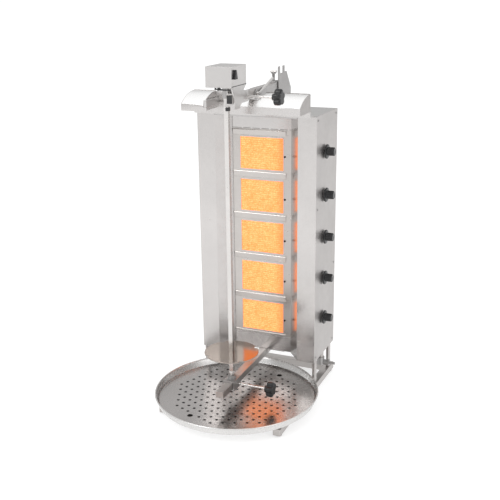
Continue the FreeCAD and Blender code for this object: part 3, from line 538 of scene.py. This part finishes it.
def star_knob(node, body, y, z):
    """Five-lobed grip of a lock screw that comes in along X."""
    collar = 6 * MM
    grip = fluted(node + "_look",
                  [(9.0, 0, 0), (10.4, 0, 0.8), (10.8, 0, 7.0), (14.0, 0.05, 8.4), (24.0, 0.24, 9.6),
                   (27.2, 0.29, 12.0), (28.0, 0.30, 16.0), (28.0, 0.30, 27.0), (27.0, 0.29, 31.5),
                   (24.0, 0.26, 34.0), (13.0, 0.05, 34.6), (5.0, 0, 34.2)],
                  5, (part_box(node)[0].x - collar, y * MM + SHIFT, z * MM), BLACK, body,
                  turn=math.radians(36))
    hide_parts(node)


star_knob("top_star_knob", "top_lock", -242, 1134)
star_knob("bottom_star_knob", "bottom_lock", -297, 111)


# ------------------------------------------------------------------ drip tray
TRAY_Y = -258
ROLL_AT, ROLL_RADIUS = (297.3, 65.3), 2.7  # the rolled rim's centre and size
FLOOR_TOP = 39.2
profile = [(0, 38), (284, 38), (286.6, 38.5), (288.8, 40), (290.2, 42.4), (296.0, 60.6)]
profile += [(ROLL_AT[0] + ROLL_RADIUS * math.cos(math.radians(a)),
             ROLL_AT[1] + ROLL_RADIUS * math.sin(math.radians(a))) for a in range(-80, 231, 22)]
profile += [(294.4, 61.5), (288.9, 43.2), (287.6, 41.0), (285.8, 39.7), (284, FLOOR_TOP), (0, FLOOR_TOP)]
tray = lathe("tray_look", profile, at(0, TRAY_Y, 0), "z", STEEL["rim"], "tray", 192, False)
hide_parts("drip_tray")
# A dark disc on the tray's floor: painted shade under the insert, so that the insert's holes read dark.
lathe("tray_painted_shade_disc", [(0, 39.22), (262, 39.22), (262, 39.40), (0, 39.40)], at(0, TRAY_Y, 0), "z",
      STEEL["painted_shade"], "tray", 128, False)


# ------------------------------------------------------------------ motor head
def pointer_switch():
    """Turn switch: a tapered pointer on a round foot."""
    low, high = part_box("motor_switch")
    mid = (low.y + high.y) / 2
    half = (high.y - low.y) / 2
    foot_z, tip_z = low.z + 0.2 * MM, high.z - 0.2 * MM
    outline = [(mid - half * 0.95, foot_z), (mid + half * 0.95, foot_z),
               (mid + half * 0.24, tip_z), (mid - half * 0.24, tip_z)]
    pointer = prism("switch_pointer", outline, low.x + 1.5 * MM, low.x + 9.5 * MM, "x", BLACK, "switch",
                    0.0012)
    lathe("switch_foot", [(0, 0), (6.2, 0), (6.6, 0.5), (6.6, 2.6), (6.0, 3.2), (0, 3.4)],
          (low.x, mid, (low.z + high.z) / 2), "x", BLACK, "switch", 48, False)
    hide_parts("motor_switch")


pointer_switch()
# A black strip along the cover's lower edge on its side: painted shadow in the seam's gap.
block("cover_seam_painted_shadow", at(45.9, -357, 1173.6), at(46.5, -241, 1176.0), BLACK_STEEL, "head", 0.0002)
block("release_strip", at(-2, -361.2, 1163.5), at(44, -358.4, 1168.0), BLACK_STEEL, "head",
      0.0006)
block("release_strip_pin", at(-2, -363.5, 1163.0), at(3, -358.4, 1172.0), BLACK_STEEL, "head",
      0.0006)

# Louvres pressed out of the cover's left side.
LOUVRE_FRONT, LOUVRE_PITCH, LOUVRE_WIDTH = -338, 14, 5
for index in range(6):
    y = LOUVRE_FRONT + LOUVRE_PITCH * index
    block("cover_louvre_%d" % (index + 1), at(-46.9, y, 1188), at(-45.9, y + LOUVRE_WIDTH, 1224),
          STEEL["along"], "head", 0.0004)


# ------------------------------------------------------------------ hood covers and end plates
HOOD_FRONT, HOOD_BACK, HOOD_FLOOR = -199.4, -98, 1069.5
HOOD_HALF = 218.3
NOTCH = (-134.6, 60)  # inner ends of the left and the right cover


def arc_top(y):
    """Height of the end plates' curved edge in millimetres."""
    radius, back, crown = 162.5, HOOD_BACK, 1129.5
    return crown - radius + math.sqrt(radius ** 2 - (y - back) ** 2)


def hood_cover(name, x_low, x_high, y_front, y_back):
    """Curved sheet that closes the hood along the end plates' edge, in the paler steel that paints a
    highlight on it.
    """
    steps = [y_front + (y_back - y_front) * k / 12 for k in range(13)]
    outline = [at(0, y, arc_top(y)) for y in steps] + [at(0, y, arc_top(y) - 1.2) for y in reversed(steps)]
    prism(name, [(p.y, p.z) for p in outline], x_low * MM, x_high * MM, "x", STEEL["cover"], "stand",
          0.0003, 2)


def hood_end(name, x, metal):
    """Thin end face under the covers' curve."""
    steps = [-199.5 + 101 * k / 12 for k in range(13)]
    outline = [at(0, y, arc_top(y) - 0.3) for y in steps]
    outline += [at(0, -98.5, HOOD_FLOOR), at(0, -199.5, HOOD_FLOOR)]
    prism(name, [(p.y, p.z) for p in outline], x * MM, (x + 0.6) * MM, "x", STEEL[metal], "stand",
          0.0002, 2)


hood_cover("hood_cover_right", NOTCH[1], HOOD_HALF, HOOD_FRONT, HOOD_BACK)
hood_cover("hood_cover_front", 6, 59.6, HOOD_FRONT, -167)
hood_cover("hood_cover_left", -HOOD_HALF, NOTCH[0], HOOD_FRONT, HOOD_BACK)
for side, x_low, x_high in (("left", -218, NOTCH[0]), ("right", NOTCH[1], 218)):
    block("hood_edge_" + side, at(x_low, -99.4, 1128.4), at(x_high, -97.2, 1131.2), STEEL["end"], "stand",
          0.0005)
hood_end("hood_end_left", -220.5, "end")
hood_end("hood_end_inner", NOTCH[0], "hood")
hood_end("hood_end_right", 219.9, "end")


# ------------------------------------------------------------------ tray insert
def insert_sheet():
    """The perforated disc: a diagonal grid of rounded holes and two finger holes."""
    curve = bpy.data.curves.new("insert_outline", "CURVE")
    curve.dimensions = "2D"
    curve.fill_mode = "BOTH"
    curve.resolution_u = 4
    curve.extrude = 0.35 * MM
    curve.bevel_depth = 0.25 * MM
    curve.bevel_resolution = 2
    curve.offset = -0.25 * MM

    def circle(radius, x, y, steps):
        spline = curve.splines.new("POLY")
        spline.points.add(steps - 1)
        spline.use_cyclic_u = True
        for k, point in enumerate(spline.points):
            a = 2 * math.pi * k / steps
            point.co = (x + radius * math.cos(a), y + radius * math.sin(a), 0, 1)

    step = math.sqrt(0.5) * 30.0 * MM
    turn = math.radians(22)
    hole, finger_hole, grid_reach, finger_reach = 5.2 * MM, 10 * MM, 232 * MM, 20.4 * MM
    fingers = [(7.5 * step, 7.5 * step), (-7.5 * step, -7.5 * step)]

    def turned(x, y):
        return x * math.cos(turn) - y * math.sin(turn), x * math.sin(turn) + y * math.cos(turn)

    circle(285 * MM, 0, 0, 240)
    for u in range(-16, 17):
        for v in range(-16, 17):
            x, y = u * step, v * step
            clear = min(math.hypot(x - a, y - b) for a, b in fingers) >= finger_reach
            if (u + v) % 2 == 0 and math.hypot(x, y) <= grid_reach and clear:
                circle(hole, *turned(x, y), 28)
    for x, y in fingers:
        circle(finger_hole, *turned(x, y), 40)
    source = bpy.data.objects.new("insert_outline", curve)
    bpy.context.scene.collection.objects.link(source)
    bpy.context.view_layer.update()
    flat = bpy.data.meshes.new_from_object(source.evaluated_get(bpy.context.evaluated_depsgraph_get()))
    bpy.data.objects.remove(source)
    bm = bmesh.new()
    bm.from_mesh(flat)
    bpy.data.meshes.remove(flat)
    bmesh.ops.remove_doubles(bm, verts=bm.verts, dist=1e-6)
    low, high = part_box("tray_insert")
    half_sheet = 0.6 * MM
    centre = Vector(((low.x + high.x) / 2, (low.y + high.y) / 2, high.z - half_sheet))
    bm.transform(Matrix.Translation(centre))
    item = link("insert_sheet", finish_mesh(bm, "insert_sheet", False), STEEL["tray"], "insert")
    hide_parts("tray_insert")
    lathe("insert_skirt", [(283.9, 39.6), (284.9, 39.6), (285.0, 43.4), (284.4, 43.6)],
          at(0, TRAY_Y, 0), "z", STEEL["tray"], "insert", 192)


insert_sheet()


# ------------------------------------------------------------------ feet, caps and stops
RAIL_X, RAIL_HALF = 221, 14
for side, letter in ((-1, "l"), (1, "r")):
    x = side * RAIL_X
    for low_y, high_y, end in ((-423, -421, "f"), (170, 172, "b")):
        block("rail_cap_%s_%s" % (letter, end), at(x - RAIL_HALF, low_y, 6), at(x + RAIL_HALF, high_y, 32),
              STEEL["tube"], "stand", 0.0009)
    for y, end in ((-403, "f"), (152, "b")):
        foot = lathe("foot_%s_%s" % (letter, end),
                     [(0, 0), (10.6, 0), (11.6, 0.8), (12, 2.0), (11.6, 6.0), (0, 6.0)],
                     at(x, y, 0), "z", RUBBER, "stand", 48, False)
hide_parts("feet_and_end_caps")


def arm_cap():
    """Plug in the lower arm's front end."""
    low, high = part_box("lower_arm")
    inset = 0.4 * MM
    block("arm_end_cap", (low.x + inset, low.y - 0.8 * MM, low.z + inset),
          (high.x - inset, low.y + 1.4 * MM, high.z - inset), STEEL["tube"], "stand",
          0.0006)


arm_cap()
block("beam_end_cap", at(22.6, -346.5, 1120.6), at(41.4, -344.4, 1147.4), BLACK_STEEL, "stand",
      0.0008)
block("spit_clip", at(1, -311.5, 1091.4), at(13.4, -299, 1103.6), BLACK_STEEL, "skewer",
      0.0012)


def clamp_head():
    """Wing head and shank sleeve of the clamping bolt."""
    low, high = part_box("clamp_bolt")
    x, y, top = (low.x + high.x) / 2, (low.y + high.y) / 2, high.z
    lathe("clamp_sleeve", [(4.1, 0), (5.2, 0.4), (5.2, 22), (6.6, 24), (6.6, 28), (4.1, 28.6)],
          (x, y, low.z + 8 * MM), "z", STEEL["cast"], "clamp", 40)
    wing = [(2.5, 14), (6, 14), (12, 5), (10.5, 0.6), (2.5, 5)]  # out from the bolt, down from its top
    for side, letter in ((-1, "l"), (1, "r")):
        prism("clamp_wing_" + letter, [(x + side * out * MM, top - down * MM) for out, down in wing],
              y - 2.4 * MM, y + 2.4 * MM, "y", STEEL["cast"], "clamp", 0.0010)


clamp_head()


def screw_set(name, places, radius, height, material, body):
    """Pan heads with cross recesses; places are (x, y, z, axis) and sizes are in millimetres."""
    dome = ((1.0, 0.0), (1.0, 0.35), (0.93, 0.65), (0.78, 0.85), (0.6, 0.94), (0.45, 0.98), (0.3, 1.0),
            (0.16, 1.0))  # shares of radius and height
    bm = bmesh.new()
    turns = {"+x": Matrix.Rotation(math.pi / 2, 4, "Y"), "-x": Matrix.Rotation(-math.pi / 2, 4, "Y"),
             "+y": Matrix.Rotation(-math.pi / 2, 4, "X")}
    steps = 32
    for x, y, z, axis in places:
        move = Matrix.Translation(at(x, y, z)) @ turns[axis]
        rings = []
        for share, rise in dome:
            ring = []
            for k in range(steps):
                a = 2 * math.pi * k / steps
                u, v = share * math.cos(a), share * math.sin(a)
                recess = share < 0.62 and min(abs(u), abs(v)) < 0.13
                level = rise - (0.55 if recess else 0.0)
                spot = Vector((u * radius * MM, v * radius * MM, level * height * MM))
                ring.append(bm.verts.new(move @ spot))
            rings.append(ring)
        for low, high in zip(rings, rings[1:]):
            for k in range(steps):
                bm.faces.new((low[k], low[(k + 1) % steps], high[(k + 1) % steps], high[k]))
        bm.faces.new(rings[0])
        bm.faces.new(list(reversed(rings[-1])))
    return link(name, finish_mesh(bm, name, True, 30.0), material, body)


SIDE_X, BACK_Y, BACK_SCREW_X = 230.5, 176, 198.5  # outer faces of the panels, and the rear screws
places = []
for z in (139.5, 457.5, 714.5, 1032.5):
    for y in (-42, 160):
        places += [(SIDE_X, y, z, "+x"), (-SIDE_X, y, z, "-x")]
    places += [(BACK_SCREW_X, BACK_Y, z, "+y"), (-BACK_SCREW_X, BACK_Y, z, "+y")]
panel_screws = screw_set("panel_screw_heads", places, 4.0, 2.4, STEEL["cast"], "stand")
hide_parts("panel_screws")


# ------------------------------------------------------------------ camera, floor and light
def camera():
    """The photograph's camera: pinhole fit, with the focal length in pixels of a 500 px frame."""
    focal, frame_width, sensor = 844.18, 500.0, 36.0
    azimuth, elevation, roll = math.radians(23.33), math.radians(17.34), math.radians(-0.69)
    place = Vector((1.1641, -2.8187 + SHIFT, 1.4791))
    data = bpy.data.cameras.new("camera")
    data.sensor_width = sensor
    data.lens = focal / frame_width * sensor
    data.clip_end = 100.0
    item = bpy.data.objects.new("camera", data)
    bpy.context.scene.collection.objects.link(item)
    back = Vector((math.sin(azimuth) * math.cos(elevation), -math.cos(azimuth) * math.cos(elevation),
                   math.sin(elevation)))
    right = Vector((math.cos(azimuth), math.sin(azimuth), 0))
    up = back.cross(right)
    right, up = (math.cos(roll) * right + math.sin(roll) * up,
                 -math.sin(roll) * right + math.cos(roll) * up)
    turn = Matrix((right, up, back)).transposed().to_4x4()
    item.matrix_world = Matrix.Translation(place) @ turn
    bpy.context.scene.camera = item


def area(name, place, aim, width, height, power):
    """Soft rectangular lamp that looks at a point."""
    data = bpy.data.lights.new(name, "AREA")
    data.shape = "RECTANGLE"
    data.size = width
    data.size_y = height
    data.energy = power
    item = bpy.data.objects.new(name, data)
    bpy.context.scene.collection.objects.link(item)
    item.location = place
    item.rotation_euler = (Vector(aim) - Vector(place)).to_track_quat("-Z", "Y").to_euler()


def floor():
    """Pale ground, lit a little from itself so that it runs into the white background."""
    m = Maker("floor_paint")
    soft = m.noise(m.coord, 2.0, 2.0)
    m.put(m.ramp(soft, (0.3, (0.50, 0.50, 0.50)), (0.7, (0.53, 0.53, 0.53))), "Base Color")
    m.set("Emission Color", (1.0, 1.0, 1.0, 1.0))
    m.set("Emission Strength", 0.62)
    m.set("Roughness", 0.9)
    m.set("Specular IOR Level", 0.1)
    bm = bmesh.new()
    bmesh.ops.create_grid(bm, x_segments=4, y_segments=4, size=14.0)
    mesh = finish_mesh(bm, "floor")
    item = bpy.data.objects.new("floor", mesh)
    bpy.context.scene.collection.objects.link(item)
    dress(item, m.mat)


def sky():
    """Studio surround: plain white to the camera, a grey gradient to light and reflections."""
    world = bpy.data.worlds.new("studio")
    bpy.context.scene.world = world
    world.use_nodes = True
    tree = world.node_tree
    tree.nodes.clear()
    out = tree.nodes.new("ShaderNodeOutputWorld")
    seen = tree.nodes.new("ShaderNodeBackground")
    seen.inputs["Color"].default_value = (1, 1, 1, 1)
    seen.inputs["Strength"].default_value = 1.05
    cast = tree.nodes.new("ShaderNodeBackground")
    cast.inputs["Strength"].default_value = 1.0
    coord = tree.nodes.new("ShaderNodeTexCoord")
    split = tree.nodes.new("ShaderNodeSeparateXYZ")
    tree.links.new(coord.outputs["Generated"], split.inputs[0])
    ramp = tree.nodes.new("ShaderNodeValToRGB")
    band = ramp.color_ramp
    stops = ((0.0, 0.95), (0.5, 0.95), (0.53, 0.66), (0.66, 0.60), (0.80, 1.0), (1.0, 1.20))  # 0.5: horizon
    while len(band.elements) < len(stops):
        band.elements.new(0.5)
    for element, (place, level) in zip(band.elements, stops):
        element.position = place
        element.color = (level, level, level, 1)
    lift = tree.nodes.new("ShaderNodeMath")
    lift.operation = "MULTIPLY_ADD"
    lift.inputs[1].default_value = 0.5
    lift.inputs[2].default_value = 0.5
    tree.links.new(split.outputs["Z"], lift.inputs[0])
    tree.links.new(lift.outputs[0], ramp.inputs["Fac"])
    tree.links.new(ramp.outputs["Color"], cast.inputs["Color"])
    path = tree.nodes.new("ShaderNodeLightPath")
    mix = tree.nodes.new("ShaderNodeMixShader")
    tree.links.new(path.outputs["Is Camera Ray"], mix.inputs[0])
    tree.links.new(cast.outputs[0], mix.inputs[1])
    tree.links.new(seen.outputs[0], mix.inputs[2])
    tree.links.new(mix.outputs[0], out.inputs["Surface"])


camera()
floor()
sky()
area("key", (-1.8, -3.2, 3.0), (0, 0, 0.6), 2.2, 1.6, 45)
area("fill", (2.8, -1.2, 1.8), (0.1, 0, 0.6), 1.4, 2.0, 9)
bpy.context.scene.view_settings.view_transform = "Standard"
